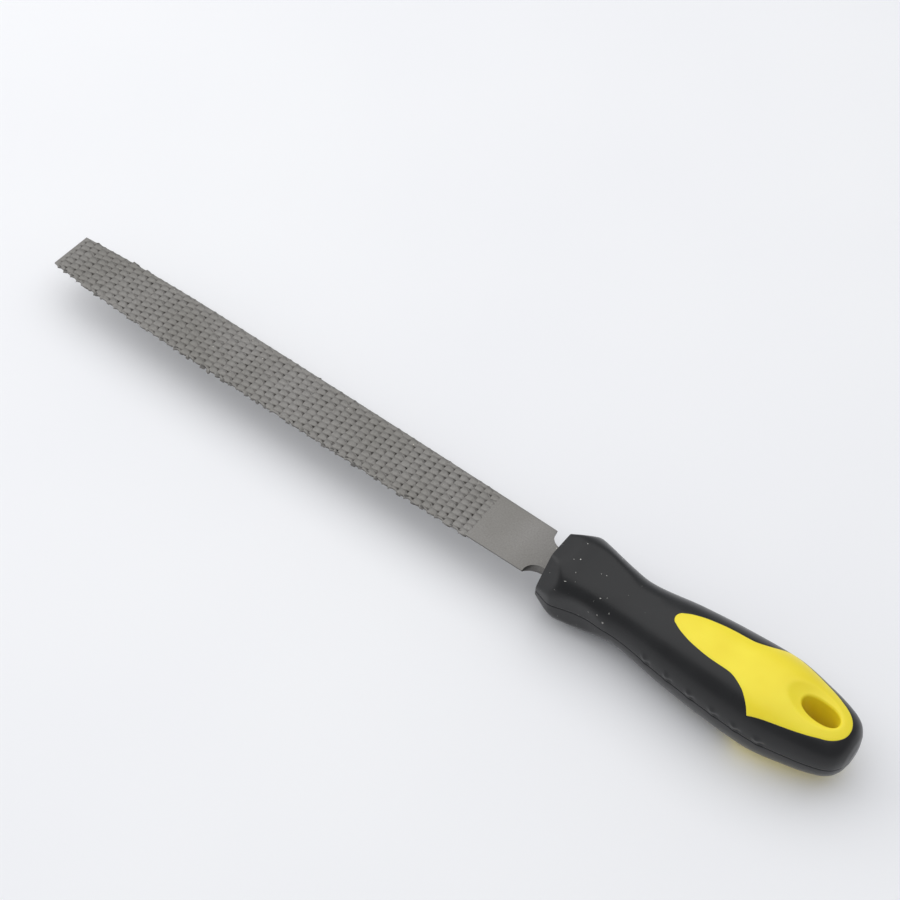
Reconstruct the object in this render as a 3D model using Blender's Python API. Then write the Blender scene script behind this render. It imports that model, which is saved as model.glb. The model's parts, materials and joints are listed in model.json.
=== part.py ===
"""Half-round hand rasp with a two-part moulded handle.

Three bodies make the tool: a steel blade drawn out into a tang, a hard yellow
core that takes the tang and is pierced to hang by, and a soft black grip
moulded round the core as a collar, two side rails and a butt band.
Lengths run along X from the tip, Z = 0 is the flat toothed face, and one
empty stands the whole tool on the ground with its middle over the origin.
"""

import math

import bmesh
import bpy

MM = 0.001

# Blade
BLADE_LENGTH = 200.0 * MM        # tip to shoulder
MID_HALF_WIDTH = 10.3 * MM       # widest part of the blade
TIP_HALF_WIDTH = 7.9 * MM
HEEL_HALF_WIDTH = 9.7 * MM       # at the shoulder
BLADE_DEPTH = 4.8 * MM           # flat to the bottom of the belly
TIP_DEPTH = 3.6 * MM
EDGE_THICKNESS = 0.7 * MM        # the thin long edges
TIP_TAPER = 60.0 * MM            # length over which the tip narrows
HEEL_TAPER = 100.0 * MM          # length over which the heel narrows

# Teeth
TOOTH_ROWS = 58
ROW_PITCH = 3.05 * MM
FIRST_ROW = 2.0 * MM             # tip to the first row of pits
PIT_DEPTH = 0.35 * MM
TOOTH_HEIGHT = 0.35 * MM
TOOTH_FACE = 0.45 * MM           # run of the steep cutting face
TOP_STEPS = 14                   # half columns across the flat
BELLY_STEPS = 12                 # half columns round the belly

# Shoulder scoops and tang
SHOULDER_LAND = 1.2 * MM         # square cut at each shoulder corner
SCOOP_RADIUS = 4.6 * MM
NECK_HALF_WIDTH = 4.8 * MM       # tang where the scoops end
TANG_LENGTH = 62.0 * MM          # shoulder to the end of the tang
TANG_END_SHARE = 0.55            # end section against the neck's

# Handle
SHOULDER_GAP = 7.0 * MM          # shoulder to the front of the handle
HANDLE_LENGTH = 106.5 * MM
SWELL_HALF_WIDTH = 15.3 * MM     # palm swell
SWELL_HALF_HEIGHT = 14.2 * MM
HANDLE_DROP = 1.8 * MM           # handle axis below the flat of the blade
ROUNDNESS = 2.3                  # exponent of the rounded section
CORNER_TURN = math.radians(40)   # slope of the collar's corner flats
FRONT_BEVEL = 6.0 * MM           # length of the bevel at the very front

# How the moulded pieces fit each other and the tang
GRIP_SKIN = 2.6 * MM             # soft grip over the core
COLLAR_WALL = 6.0 * MM           # grip in front of the core
BUTT_WALL = 3.2 * MM             # grip behind the core
FIT_GAP = 0.3 * MM               # between core and grip, and round the tang
SOCKET_SPARE = 2.0 * MM          # socket past the end of the tang

# Yellow panel and hang hole
PANEL_END_WALL = 4.0 * MM        # end of the panel to the butt
CUSP_HALF_WIDTH = 13.4 * MM      # panel where it flares to its points
HOLE_LENGTH = 12.6 * MM
HOLE_WIDTH = 6.9 * MM
HOLE_WALL = 7.4 * MM             # end of the hole to the butt
DISH_LENGTH = 18.6 * MM          # sunk lead-in round the hole
DISH_WIDTH = 11.4 * MM
DISH_DEPTH = 1.3 * MM
DISH_FORWARD = 1.6 * MM          # the lead-in reaches further forward than back

RING_POINTS = 48                 # corners of each section of the handle
NECK_STATIONS = 13               # sections from the front bevel to the palm swell
BUTT_STATIONS = 9                # sections from the palm swell to the butt
SCOOP_STEPS = 7
TANG_STEPS = 4
SOCKET_STEPS = 6
SLOT_STEPS = 10                  # chords in each round end of the hole
DISH_POINTS = 24
DISH_LAYERS = 6
DISH_FLOOR = 0.12                # flat at the bottom of the lead-in against its mouth
PANEL_FRONT_STEPS = 16
PANEL_BACK_STEPS = 12
TIP_CROWDING = 1.5               # above 1 puts more panel points near its front tip
PARALLEL = 0.01                  # a direction this near a flat's own never meets it
SHARPEST_MITRE = 0.4             # keeps the panel's gap short round its cusps
SHOULDER_STEP = 0.03 * MM        # length over which the shoulder's square cut falls
HANDLE_FRONT = BLADE_LENGTH + SHOULDER_GAP
OVERALL_LENGTH = HANDLE_FRONT + HANDLE_LENGTH
CLEAR = 20.0 * MM                # how far a cutter runs past what it cuts

SWELL_PLACE = 0.721              # share of the handle's length where it is thickest

# Handle outline: share of its length, half width and half height as shares of the swell.
HANDLE_OUTLINE = (
    (0.000, 0.928, 0.958),
    (0.066, 0.925, 0.954),
    (0.110, 0.882, 0.922),
    (0.160, 0.810, 0.860),
    (0.204, 0.758, 0.796),
    (0.259, 0.714, 0.736),
    (0.433, 0.861, 0.886),
    (0.577, 0.956, 0.961),
    (SWELL_PLACE, 1.000, 1.000),
    (0.866, 0.846, 0.850),
    (0.942, 0.700, 0.703),
    (0.972, 0.585, 0.590),
    (0.992, 0.400, 0.410),
    (1.000, 0.210, 0.220),
)

# Flats on the collar: share of the handle's length, distance from its axis as a
# share of the swell's half width or half height. They run out where they rise again.
SIDE_FLAT = (
    (0.000, 0.788),
    (0.054, 0.914),
    (0.103, 0.810),
    (0.141, 0.745),
    (0.181, 0.712),
    (0.240, 0.712),
    (0.300, 1.000),
)
TOP_FLAT = (
    (0.000, 0.817),
    (0.054, 0.930),
    (0.103, 0.849),
    (0.141, 0.796),
    (0.181, 0.760),
    (0.263, 0.726),
    (0.330, 1.000),
)
CORNER_FLAT = (
    (0.000, 0.718),
    (0.056, 0.898),
    (0.100, 1.050),
)

# Panel edge up to its cusp: share of the handle's length, share of the cusp's half width.
PANEL_FRONT = (
    (0.393, 0.000),
    (0.402, 0.150),
    (0.432, 0.276),
    (0.480, 0.396),
    (0.546, 0.478),
    (0.608, 0.508),
    (0.657, 0.649),
    (0.692, 0.843),
    (0.713, 1.000),
)
# From the cusp to the rounded end: share of the way back, share of the cusp's half width.
PANEL_BACK = (
    (0.36, 0.828),
    (0.66, 0.649),
    (0.87, 0.470),
    (0.955, 0.320),
    (1.00, 0.000),
)


def remove_everything():
    for item in list(bpy.data.objects):
        bpy.data.objects.remove(item, do_unlink=True)


def finish(name, colour, roughness, metallic=0.0):
    material = bpy.data.materials.new(name)
    material.use_nodes = True
    shader = material.node_tree.nodes["Principled BSDF"]
    shader.inputs["Base Color"].default_value = (*colour, 1.0)
    shader.inputs["Roughness"].default_value = roughness
    shader.inputs["Metallic"].default_value = metallic
    return material


def follow(points, where):
    """A smooth curve through (x, y) points that never overshoots them."""
    spans = [(b[0] - a[0], b[1] - a[1]) for a, b in zip(points, points[1:])]
    slopes = [rise / run for run, rise in spans]
    tangents = [slopes[0]]
    for before, after in zip(slopes, slopes[1:]):
        tangents.append(0.0 if before * after <= 0 else 2 * before * after / (before + after))
    tangents.append(slopes[-1])
    where = min(max(where, points[0][0]), points[-1][0])
    index = max(i for i in range(len(spans)) if where >= points[i][0])
    run = spans[index][0]
    t = (where - points[index][0]) / run
    start, end = points[index][1], points[index + 1][1]
    return (
        (2 * t**3 - 3 * t**2 + 1) * start
        + (t**3 - 2 * t**2 + t) * run * tangents[index]
        + (3 * t**2 - 2 * t**3) * end
        + (t**3 - t**2) * run * tangents[index + 1]
    )


def loft(name, rings):
    """One closed body through rings of equal count, with a flat cap at each end.

    The sides are triangles whose diagonals all run the same way, so two lofts
    through matching rings keep an even distance.
    """
    shape = bmesh.new()
    rows = [[shape.verts.new(point) for point in ring] for ring in rings]
    count = len(rows[0])
    for first, second in zip(rows, rows[1:]):
        for i in range(count):
            j = (i + 1) % count
            shape.faces.new((first[i], first[j], second[j]))
            shape.faces.new((first[i], second[j], second[i]))
    shape.faces.new(rows[0][::-1])
    shape.faces.new(rows[-1])
    bmesh.ops.recalc_face_normals(shape, faces=shape.faces)
    mesh = bpy.data.meshes.new(name)
    shape.to_mesh(mesh)
    shape.free()
    piece = bpy.data.objects.new(name, mesh)
    bpy.context.scene.collection.objects.link(piece)
    return piece


def prism(name, outline, low, high):
    """An outline in X and Y stood up from low to high."""
    return loft(name, [[(x, y, z) for x, y in outline] for z in (low, high)])


def hide_cutter(piece):
    piece.hide_render = True
    piece.display_type = "WIRE"


def boolean(piece, operation, other):
    modifier = piece.modifiers.new(f"{operation.lower()} {other.name}", "BOOLEAN")
    modifier.operation = operation
    modifier.object = other
    modifier.solver = "EXACT"


# Blade ---------------------------------------------------------------------

def stock_half_width(x):
    """Outline of the blade before its shoulders are scooped."""
    from_tip = max(0.0, 1 - x / TIP_TAPER)
    from_heel = max(0.0, (x - BLADE_LENGTH + HEEL_TAPER) / HEEL_TAPER)
    narrowing = (MID_HALF_WIDTH - TIP_HALF_WIDTH) * from_tip**2
    return MID_HALF_WIDTH - narrowing - (MID_HALF_WIDTH - HEEL_HALF_WIDTH) * min(from_heel, 1.0) ** 2


def stock_depth(x):
    return BLADE_DEPTH - (BLADE_DEPTH - TIP_DEPTH) * max(0.0, 1 - x / TIP_TAPER) ** 2


def belly(x, y):
    """Depth of the half-round belly below the flat, as a positive length."""
    half = stock_half_width(min(x, BLADE_LENGTH))
    rise = stock_depth(x) - EDGE_THICKNESS
    radius = (half**2 + rise**2) / (2 * rise)
    return EDGE_THICKNESS + rise - radius + math.sqrt(max(radius**2 - y**2, 0.0))


def scoop_run():
    """Length from the shoulder to where a scoop has cut down to the tang's neck."""
    drop = NECK_HALF_WIDTH + SCOOP_RADIUS - (HEEL_HALF_WIDTH - SHOULDER_LAND)
    return math.sqrt(SCOOP_RADIUS**2 - drop**2)


def tang_share(x):
    """1 at the shoulder, falling evenly to the end section's share."""
    along = (x - BLADE_LENGTH) / TANG_LENGTH
    return 1 - (1 - TANG_END_SHARE) * min(max(along, 0.0), 1.0)


def tang_half_width(x):
    """Round scoop down from the shoulder, then the taper of the tang."""
    across = max(0.0, BLADE_LENGTH + scoop_run() - x)
    scoop = SCOOP_RADIUS - math.sqrt(max(SCOOP_RADIUS**2 - across**2, 0.0))
    return NECK_HALF_WIDTH * tang_share(x) + scoop


def blade_ring(x, half, top_parity=None, bump=0.0):
    """One cross-section: along the flat from side to side, then back round the belly.

    Points of the given parity are moved outwards by bump, which cuts a pit or
    raises a tooth there.
    """
    share = tang_share(x)
    middle = -BLADE_DEPTH / 2
    ring = []
    for k in range(TOP_STEPS + 1):
        inside = 0 < k < TOP_STEPS
        raised = bump if top_parity is not None and inside and k % 2 == top_parity else 0.0
        ring.append((-half + 2 * half * k / TOP_STEPS, raised))
    for k in range(BELLY_STEPS + 1):
        y = half - 2 * half * k / BELLY_STEPS
        inside = 0 < k < BELLY_STEPS
        raised = bump if top_parity is not None and inside and k % 2 == top_parity else 0.0
        ring.append((y, -belly(x, y) - raised))
    return [(x, y, middle + (z - middle) * share if share < 1 else z) for y, z in ring]


def make_blade():
    rings = [blade_ring(0.0, stock_half_width(0.0))]
    for row in range(TOOTH_ROWS):
        parity = row % 2
        pit = FIRST_ROW + row * ROW_PITCH
        crest = pit + TOOTH_FACE
        rings.append(blade_ring(pit, stock_half_width(pit), parity, -PIT_DEPTH))
        rings.append(blade_ring(crest, stock_half_width(crest), parity, TOOTH_HEIGHT))
    last = FIRST_ROW + TOOTH_ROWS * ROW_PITCH
    heel_middle = (last + BLADE_LENGTH) / 2
    for x in (last, heel_middle, BLADE_LENGTH):
        rings.append(blade_ring(x, stock_half_width(x)))
    for step in range(SCOOP_STEPS + 1):
        x = BLADE_LENGTH + SHOULDER_STEP + scoop_run() * step / SCOOP_STEPS
        rings.append(blade_ring(x, tang_half_width(x)))
    neck = BLADE_LENGTH + scoop_run()
    for step in range(1, TANG_STEPS + 1):
        x = neck + (BLADE_LENGTH + TANG_LENGTH - neck) * step / TANG_STEPS
        rings.append(blade_ring(x, tang_half_width(x)))
    return loft("rasp_blade", rings)


def make_socket():
    """The space that the tang fills, grown by the fit gap all round."""
    start = HANDLE_FRONT - FIT_GAP
    end = BLADE_LENGTH + TANG_LENGTH + SOCKET_SPARE
    rings = []
    for step in range(SOCKET_STEPS + 1):
        x = start + (end - start) * step / SOCKET_STEPS
        half = tang_half_width(x) + FIT_GAP
        share = tang_share(x)
        middle = -BLADE_DEPTH / 2
        corners = [(-half, 0.0), (half, 0.0)]
        corners += [(half * across, -belly(x, half * across)) for across in (1, 0.5, 0, -0.5, -1)]
        ring = []
        for y, z in corners:
            away = FIT_GAP if z > middle else -FIT_GAP
            ring.append((x, y, middle + (z - middle) * share + away))
        rings.append(ring)
    return loft("tang_socket_cutter", rings)


# Handle --------------------------------------------------------------------

def rounded_radius(angle, half_width, half_height):
    across = abs(math.cos(angle) / half_width) ** ROUNDNESS
    upward = abs(math.sin(angle) / half_height) ** ROUNDNESS
    return (across + upward) ** (-1 / ROUNDNESS)


def flat_radius(angle, share):
    """Distance to the nearest collar flat: top and bottom, sides, or the four corners."""
    across = abs(math.cos(angle))
    upward = abs(math.sin(angle))
    corner = math.cos(CORNER_TURN) * across + math.sin(CORNER_TURN) * upward
    limits = [SWELL_HALF_WIDTH * follow(CORNER_FLAT, share) / corner]
    if across > PARALLEL:
        limits.append(SWELL_HALF_WIDTH * follow(SIDE_FLAT, share) / across)
    if upward > PARALLEL:
        limits.append(SWELL_HALF_HEIGHT * follow(TOP_FLAT, share) / upward)
    return min(limits)


def handle_ring(along, inset=0.0):
    """Section of the handle at a length from its front, drawn in by inset."""
    share = along / HANDLE_LENGTH
    half_width = SWELL_HALF_WIDTH * follow([(s, w) for s, w, _ in HANDLE_OUTLINE], share)
    half_height = SWELL_HALF_HEIGHT * follow([(s, h) for s, _, h in HANDLE_OUTLINE], share)
    ring = []
    for i in range(RING_POINTS):
        angle = 2 * math.pi * i / RING_POINTS
        radius = rounded_radius(angle, half_width, half_height)
        if share < TOP_FLAT[-1][0]:
            radius = min(radius, flat_radius(angle, share))
        radius -= inset
        y = radius * math.cos(angle)
        z = radius * math.sin(angle) - HANDLE_DROP
        ring.append((HANDLE_FRONT + along, y, z))
    return ring


def handle_stations():
    """Lengths from the front at which the handle's section is drawn."""
    front = [0.0, FRONT_BEVEL / 2, FRONT_BEVEL]
    swell = SWELL_PLACE * HANDLE_LENGTH
    neck = [FRONT_BEVEL + (swell - FRONT_BEVEL) * i / NECK_STATIONS for i in range(1, NECK_STATIONS + 1)]
    palm = [swell + (HANDLE_LENGTH - swell) * math.sin(math.pi / 2 * i / BUTT_STATIONS)
            for i in range(1, BUTT_STATIONS + 1)]
    return front + neck + palm


def make_form(name):
    return loft(name, [handle_ring(along) for along in handle_stations()])


def make_inner(name, gap):
    """The handle drawn in by the grip's skin: what the grip is moulded over."""
    front = COLLAR_WALL - gap
    back = HANDLE_LENGTH - BUTT_WALL + gap
    inside = [along for along in handle_stations() if front < along < back]
    rings = [handle_ring(along, GRIP_SKIN - gap) for along in [front, *inside, back]]
    return loft(name, rings)


def panel_side():
    """One edge of the panel, from its front tip to its rounded end, as (x, y) points."""
    tip = PANEL_FRONT[0][0] * HANDLE_LENGTH
    cusp = PANEL_FRONT[-1][0] * HANDLE_LENGTH
    end = HANDLE_LENGTH - PANEL_END_WALL
    points = []
    for i in range(PANEL_FRONT_STEPS + 1):
        way = (i / PANEL_FRONT_STEPS) ** TIP_CROWDING
        share = (tip + (cusp - tip) * way) / HANDLE_LENGTH
        points.append((share * HANDLE_LENGTH, CUSP_HALF_WIDTH * follow(PANEL_FRONT, share)))
    back = ((0.0, 1.0), *PANEL_BACK)
    for i in range(1, PANEL_BACK_STEPS + 1):
        share = math.sin(math.pi / 2 * i / PANEL_BACK_STEPS)
        points.append((cusp + (end - cusp) * share, CUSP_HALF_WIDTH * follow(back, share)))
    return [(HANDLE_FRONT + along, y) for along, y in points]


def panel_outline(gap):
    """The closed edge of the panel, moved out by gap."""
    side = panel_side()
    outline = side + [(x, -y) for x, y in side[-2:0:-1]]
    grown = []
    for i, (x, y) in enumerate(outline):
        before = outline[i - 1]
        after = outline[(i + 1) % len(outline)]
        first = math.atan2(y - before[1], x - before[0])
        second = math.atan2(after[1] - y, after[0] - x)
        turn = (second - first + math.pi) % (2 * math.pi) - math.pi
        heading = first + turn / 2 + math.pi / 2
        reach = gap / max(math.cos(turn / 2), SHARPEST_MITRE)
        grown.append((x + reach * math.cos(heading), y + reach * math.sin(heading)))
    return grown


def slot_outline(length, width, centre):
    """A slot with round ends along X."""
    radius = width / 2
    straight = length / 2 - radius
    points = []
    for i in range(SLOT_STEPS + 1):
        angle = -math.pi / 2 + math.pi * i / SLOT_STEPS
        points.append((centre + straight + radius * math.cos(angle), radius * math.sin(angle)))
    for i in range(SLOT_STEPS + 1):
        angle = math.pi / 2 + math.pi * i / SLOT_STEPS
        points.append((centre - straight + radius * math.cos(angle), radius * math.sin(angle)))
    return points


def hole_centre():
    return HANDLE_FRONT + HANDLE_LENGTH - HOLE_WALL - HOLE_LENGTH / 2


def make_dish(name, side):
    """A shallow spoon-shaped cut round one mouth of the hole."""
    along = (hole_centre() - DISH_FORWARD - HANDLE_FRONT) / HANDLE_LENGTH
    heights = [(s, h) for s, _, h in HANDLE_OUTLINE]
    surface = SWELL_HALF_HEIGHT * follow(heights, along)
    height = 2 * DISH_DEPTH
    rings = []
    for layer in range(DISH_LAYERS + 1):
        level = layer / DISH_LAYERS
        reach = math.sqrt(1 - (1 - level) ** 2) if layer else DISH_FLOOR
        ring = []
        for i in range(DISH_POINTS):
            angle = 2 * math.pi * i / DISH_POINTS
            x = hole_centre() - DISH_FORWARD + DISH_LENGTH / 2 * reach * math.cos(angle)
            y = DISH_WIDTH / 2 * reach * math.sin(angle)
            ring.append((x, y, side * (surface - DISH_DEPTH + height * level) - HANDLE_DROP))
        rings.append(ring)
    top = [(x, y, z + side * CLEAR / 4) for x, y, z in rings[-1]]
    return loft(name, [*rings, top])


def make_core():
    core = make_form("handle_core")
    reach = SWELL_HALF_HEIGHT + CLEAR
    panel = prism("panel_cutter", panel_outline(0.0), -HANDLE_DROP - reach, -HANDLE_DROP + reach)
    inner = make_inner("inner_form", 0.0)
    outline = slot_outline(HOLE_LENGTH, HOLE_WIDTH, hole_centre())
    hole = prism("hang_hole_cutter", outline, -HANDLE_DROP - reach, -HANDLE_DROP + reach)
    dishes = [make_dish("upper_dish_cutter", 1), make_dish("lower_dish_cutter", -1)]
    boolean(core, "INTERSECT", panel)
    boolean(core, "UNION", inner)
    for cutter in (hole, *dishes):
        boolean(core, "DIFFERENCE", cutter)
    return core, [panel, inner, hole, *dishes]


def make_grip():
    grip = make_form("soft_grip")
    reach = SWELL_HALF_HEIGHT + CLEAR
    window = prism("window_cutter", panel_outline(FIT_GAP), -HANDLE_DROP - reach, -HANDLE_DROP + reach)
    hollow = make_inner("hollow_cutter", FIT_GAP)
    boolean(grip, "DIFFERENCE", hollow)
    boolean(grip, "DIFFERENCE", window)
    return grip, [window, hollow]


def smooth_round(piece, degrees):
    piece.data.shade_smooth()
    piece.data.set_sharp_from_angle(angle=math.radians(degrees))


def main():
    remove_everything()
    stand = bpy.data.objects.new("rasp_stand", None)
    bpy.context.scene.collection.objects.link(stand)
    stand.location = (-OVERALL_LENGTH / 2, 0.0, SWELL_HALF_HEIGHT + HANDLE_DROP)

    blade = make_blade()
    core, core_cutters = make_core()
    grip, grip_cutters = make_grip()
    socket = make_socket()
    boolean(core, "DIFFERENCE", socket)
    boolean(grip, "DIFFERENCE", socket)

    blade.data.materials.append(finish("satin_tool_steel", (0.27, 0.27, 0.25), 0.42, 1.0))
    core.data.materials.append(finish("yellow_polypropylene", (0.83, 0.67, 0.04), 0.45))
    grip.data.materials.append(finish("black_soft_rubber", (0.035, 0.035, 0.037), 0.62))

    for cutter in (*core_cutters, *grip_cutters, socket):
        hide_cutter(cutter)
        cutter.parent = stand
    for piece in (blade, core, grip):
        smooth_round(piece, 30)
        piece.parent = stand


main()
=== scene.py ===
# %% [markdown]
# A half-round hand rasp, made in Blender
#
# The tool is three pieces. A steel blade carries rows of teeth that a punch
# raised one by one. A hard yellow core takes the blade's tang. A soft black
# grip is moulded round the core. This lesson builds each piece at full
# detail in the place where the plain model has it, and gives each one the
# finish of its real material.

import json
import math

import bmesh
import bpy
import numpy as np
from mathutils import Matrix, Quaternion, Vector


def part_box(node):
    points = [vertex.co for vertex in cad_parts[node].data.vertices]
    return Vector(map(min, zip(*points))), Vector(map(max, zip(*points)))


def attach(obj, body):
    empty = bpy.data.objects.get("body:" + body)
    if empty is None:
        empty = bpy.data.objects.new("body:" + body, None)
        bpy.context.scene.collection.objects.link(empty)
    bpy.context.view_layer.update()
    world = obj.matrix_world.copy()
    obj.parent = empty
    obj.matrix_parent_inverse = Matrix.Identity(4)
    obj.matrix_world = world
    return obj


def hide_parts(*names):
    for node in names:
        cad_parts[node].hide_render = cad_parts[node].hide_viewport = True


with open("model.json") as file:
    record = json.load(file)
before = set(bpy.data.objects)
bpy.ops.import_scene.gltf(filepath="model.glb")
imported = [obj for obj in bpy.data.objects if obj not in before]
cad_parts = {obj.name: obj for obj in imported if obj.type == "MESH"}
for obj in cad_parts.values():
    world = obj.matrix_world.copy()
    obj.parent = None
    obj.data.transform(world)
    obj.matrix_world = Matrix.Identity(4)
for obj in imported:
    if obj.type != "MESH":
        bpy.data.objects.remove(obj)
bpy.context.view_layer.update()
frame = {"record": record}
MM = 0.001

# %% [markdown]
# Every place below is worked out from the plain model's own boxes. Lengths
# run along X from the blade's tip, and the flat toothed face is height zero.
# The plain model's record gives that height as the place of the heel's mount.

# %% Find the tip, the flat and the handle
blade_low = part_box("rasp_blade")[0]
grip_low, grip_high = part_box("soft_grip")
core_low, core_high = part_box("handle_core")
heel_mount = next(m for m in frame["record"]["mounts"] if m["name"] == "heel_flat")
flat_height = heel_mount["pos_m"][2]
tip = np.array([blade_low.x, 0.0, flat_height]) / MM
handle_front = (grip_low.x - blade_low.x) / MM
handle_length = (grip_high.x - grip_low.x) / MM
swell_half_width = (grip_high.y - grip_low.y) / 2 / MM
swell_half_height = (core_high.z - core_low.z) / 2 / MM
handle_drop = (flat_height - (core_high.z + core_low.z) / 2) / MM
print("handle starts", round(handle_front, 1), "mm from the tip")

# %% [markdown]
# Colours are written as the hex values a paint program shows. Blender's
# shaders work on linear light, so one function turns them round. A second
# function adds a node, sets it up and links it. It serves the materials and
# the Geometry Nodes alike, which keeps each tree short to write.

# %% Helpers for colours, nodes and meshes
def linear(hex_colour):
    """An sRGB hex colour as the linear colour that shaders expect."""
    parts = [int(hex_colour[i:i + 2], 16) / 255 for i in (1, 3, 5)]
    light = [c / 12.92 if c <= 0.04045 else ((c + 0.055) / 1.055) ** 2.4 for c in parts]
    return (*light, 1.0)


def put(tree, kind, sources=None, output=None, **settings):
    """Adds a node with its settings and links, and returns its output socket."""
    node = tree.nodes.new(kind)
    for name, value in settings.items():
        setattr(node, name, value)
    for key, value in (sources or {}).items():
        named = [s for s in node.inputs if s.name == key and s.enabled]
        socket = node.inputs[key] if isinstance(key, int) else named[0]
        if isinstance(value, bpy.types.NodeSocket):
            tree.links.new(value, socket)
        else:
            socket.default_value = value
    return next((s for s in node.outputs if s.enabled and output in (None, s.name)), None)


def make_mesh(name, points, faces, material, sharp_degrees=40):
    """A smooth-shaded object whose points are in mm from the tip."""
    mesh = bpy.data.meshes.new(name)
    mesh.from_pydata((np.asarray(points) + tip) * MM, [], faces)
    mesh.materials.append(material)
    mesh.shade_smooth()
    mesh.set_sharp_from_angle(angle=math.radians(sharp_degrees))
    piece = bpy.data.objects.new(name, mesh)
    bpy.context.scene.collection.objects.link(piece)
    return piece


def loft(rings):
    """Points and outward faces of a body through rings, with a cap at each end.

    Rings follow one another along +X, and each runs towards +Y across its top.
    """
    rings = np.asarray(rings)
    rows, count = rings.shape[:2]
    here = np.arange(rows * count).reshape(rows, count)
    beside = np.roll(here, -1, axis=1)
    sides = np.stack([here[:-1], here[1:], beside[1:], beside[:-1]], axis=-1)
    faces = sides.reshape(-1, 4).tolist()
    faces += [here[0].tolist(), here[-1][::-1].tolist()]
    return rings.reshape(-1, 3), faces


def follow(pairs, where):
    """A smooth curve through (place, value) pairs that never overshoots them."""
    places, values = np.array(pairs, float).T
    slopes = np.diff(values) / np.diff(places)
    product = slopes[:-1] * slopes[1:]
    total = np.where(product > 0, slopes[:-1] + slopes[1:], 1.0)
    inner = np.where(product > 0, 2 * product / total, 0.0)
    tangents = np.concatenate([slopes[:1], inner, slopes[-1:]])
    where = np.clip(where, places[0], places[-1])
    i = np.clip(np.searchsorted(places, where, side="right") - 1, 0, len(slopes) - 1)
    run = places[i + 1] - places[i]
    t = (where - places[i]) / run
    rise = (3 * t**2 - 2 * t**3) * (values[i + 1] - values[i])
    ease_in = (t**3 - 2 * t**2 + t) * run * tangents[i]
    ease_out = (t**3 - t**2) * run * tangents[i + 1]
    return values[i] + rise + ease_in + ease_out


def plain_copy(piece):
    """Bakes the modifiers into the mesh, so that the piece is plain geometry."""
    graph = bpy.context.evaluated_depsgraph_get()
    mesh = bpy.data.meshes.new_from_object(piece.evaluated_get(graph))
    piece.modifiers.clear()
    piece.data = mesh
    return piece


print("white in linear light:", linear("#ffffff")[:3])

# %% [markdown]
# The blade is hardened tool steel with a dull satin skin. Its colour drifts a
# little over the length, and a fine grain breaks up the gloss. The finish
# darkens by the depth of each punched pit, which the mesh stores as an
# attribute. That darkening is partly the dirt and oxide that stay in the pits
# and partly painted shade in the hollows. Painted shade also darkens it a
# little beside the handle, and a few pale specks of dust lie on it.

# %% Steel finish
def object_place(tree):
    return put(tree, "ShaderNodeTexCoord", output="Object")


def noise(tree, size_mm, detail=2.0, stretch=(1.0, 1.0, 1.0)):
    """Soft random pattern whose blobs are about size_mm across."""
    place = put(tree, "ShaderNodeMapping", {"Vector": object_place(tree), "Scale": stretch})
    scale = 1 / (size_mm * MM)
    return put(tree, "ShaderNodeTexNoise", {"Vector": place, "Scale": scale, "Detail": detail})


def fit(tree, value, low, high, to_low=0.0, to_high=1.0):
    """Maps low..high to to_low..to_high and stops at both ends."""
    ends = {"From Min": low, "From Max": high, "To Min": to_low, "To Max": to_high}
    return put(tree, "ShaderNodeMapRange", {"Value": value, **ends})


def times(tree, first, second):
    return put(tree, "ShaderNodeMath", {0: first, 1: second}, operation="MULTIPLY")


def blend(tree, share, first, second):
    colours = {"Factor": share, "A": first, "B": second}
    return put(tree, "ShaderNodeMix", colours, data_type="RGBA")


def new_finish(name, roughness, metallic=0.0):
    """A named material with its Principled shader ready for a finish."""
    material = bpy.data.materials.new(name)
    material.use_nodes = True
    shader = material.node_tree.nodes["Principled BSDF"]
    shader.inputs["Metallic"].default_value = metallic
    shader.inputs["Roughness"].default_value = roughness
    return material, material.node_tree, shader


def specks(tree, cell_mm, spot, keep, where):
    """Small scattered spots: one in a few cells holds one, where the mask allows."""
    place = object_place(tree)
    cells = {"Vector": place, "Scale": 1 / (cell_mm * MM)}
    distance = put(tree, "ShaderNodeTexVoronoi", cells, output="Distance")
    pick = put(tree, "ShaderNodeSeparateColor", {"Color": distance.node.outputs["Color"]})
    chosen = fit(tree, pick, keep, keep + 0.01)
    size = fit(tree, pick.node.outputs["Green"], 0.0, 1.0, 0.2 * spot, spot)
    ragged = fit(tree, noise(tree, 0.16 * cell_mm, 1.0), 0.35, 0.65, 0.3, 1.7)
    size = times(tree, size, ragged)
    near = put(tree, "ShaderNodeMath", {0: distance, 1: size}, operation="LESS_THAN")
    return times(tree, times(tree, near, chosen), where)


def along_mask(tree, start_mm, full_mm):
    """A mask by length from the tip: 0 at start_mm and 1 at full_mm."""
    place = put(tree, "ShaderNodeSeparateXYZ", {"Vector": object_place(tree)})
    return fit(tree, place, (tip[0] + start_mm) * MM, (tip[0] + full_mm) * MM)


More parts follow.
